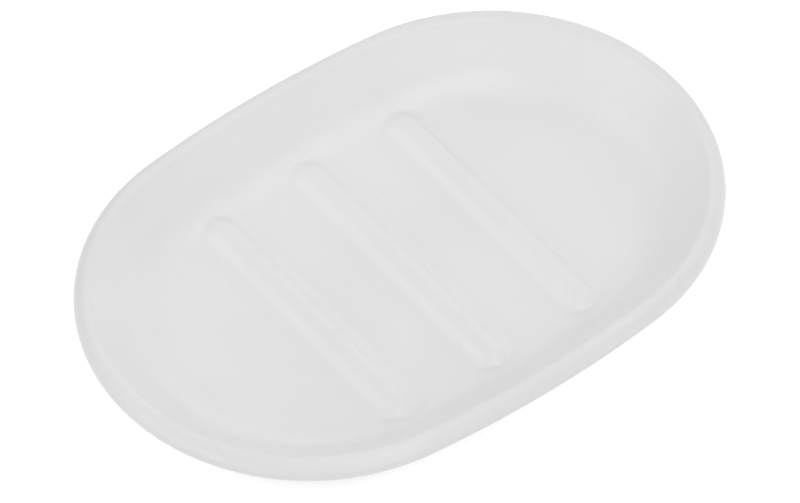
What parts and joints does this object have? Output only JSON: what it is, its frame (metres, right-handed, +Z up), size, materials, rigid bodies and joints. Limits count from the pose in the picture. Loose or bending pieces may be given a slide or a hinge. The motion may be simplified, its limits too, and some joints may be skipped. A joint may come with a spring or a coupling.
{
  "type": "soap dish",
  "caption": "Oval glazed ceramic soap dish with a rolled rim, sloping wall, raised ribs across a flat floor and soft foot pads in a recessed underside.",
  "frame": {"origin": "middle of the footprint, on the surface that the foot pads stand on", "axes": "+X along the long axis, +Y across it from the front long side to the back, +Z up out of the bowl"},
  "size_m": [0.14, 0.0964, 0.017],
  "materials": {
    "glaze": "satin white glaze, bare on the foot band",
    "pad": "soft matt silicone"
  },
  "bodies": {
    "root": {"dish": "glaze", "foot_pad_front_left": "pad", "foot_pad_front_right": "pad", "foot_pad_back_left": "pad", "foot_pad_back_right": "pad"}
  },
  "joints": []
}
